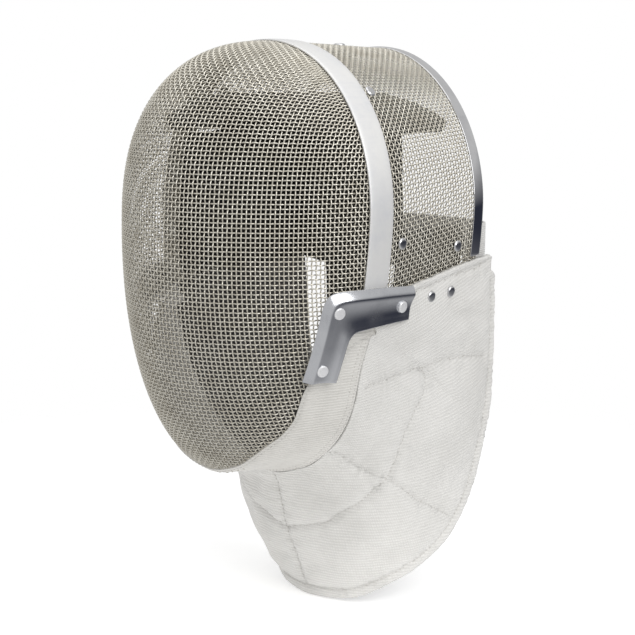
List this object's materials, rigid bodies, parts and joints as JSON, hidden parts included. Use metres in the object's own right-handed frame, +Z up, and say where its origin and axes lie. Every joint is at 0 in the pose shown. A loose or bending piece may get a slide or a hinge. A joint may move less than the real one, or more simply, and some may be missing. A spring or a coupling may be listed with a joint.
{
  "type": "fencing mask",
  "caption": "Wire mesh fencing mask with steel bands, corner brackets, a padded bib that guards the throat, a dark padded liner and an elastic back strap.",
  "frame": {"origin": "point where the top of the wearer's head touches the underside of the crown liner, on the mask's middle plane", "axes": "+Z up, -Y the way the wearer faces, +X towards the wearer's left"},
  "size_m": [0.2224, 0.27, 0.4298],
  "materials": {
    "mesh_steel": "woven stainless wire, dull grey",
    "satin_steel": "satin",
    "polished_steel": "polished",
    "bib_cloth": "off-white quilted cloth with fine ribs",
    "strap_elastic": "white woven elastic",
    "liner_cloth": "charcoal padded cloth"
  },
  "bodies": {
    "root": {"front_mesh": "mesh_steel", "back_mesh": "mesh_steel", "centre_band": "satin_steel", "rear_band": "polished_steel", "bracket_left": "polished_steel", "bracket_right": "polished_steel", "bracket_rivet_left_1": "polished_steel", "bracket_rivet_left_2": "polished_steel", "bracket_rivet_left_3": "polished_steel", "bracket_rivet_right_1": "polished_steel", "bracket_rivet_right_2": "polished_steel", "bracket_rivet_right_3": "polished_steel", "mesh_rivet_top": "polished_steel", "mesh_rivet_left_1": "polished_steel", "mesh_rivet_left_2": "polished_steel", "mesh_rivet_left_3": "polished_steel", "mesh_rivet_right_1": "polished_steel", "mesh_rivet_right_2": "polished_steel", "mesh_rivet_right_3": "polished_steel", "bib_rivet_left_1": "polished_steel", "bib_rivet_left_2": "polished_steel", "bib_rivet_right_1": "polished_steel", "bib_rivet_right_2": "polished_steel", "bib": "bib_cloth", "bib_border": "bib_cloth", "back_strap": "strap_elastic", "crown_liner": "liner_cloth", "side_liner_left": "liner_cloth", "side_liner_right": "liner_cloth", "ear_pad_left": "liner_cloth", "ear_pad_right": "liner_cloth", "back_pad": "liner_cloth"}
  },
  "joints": []
}
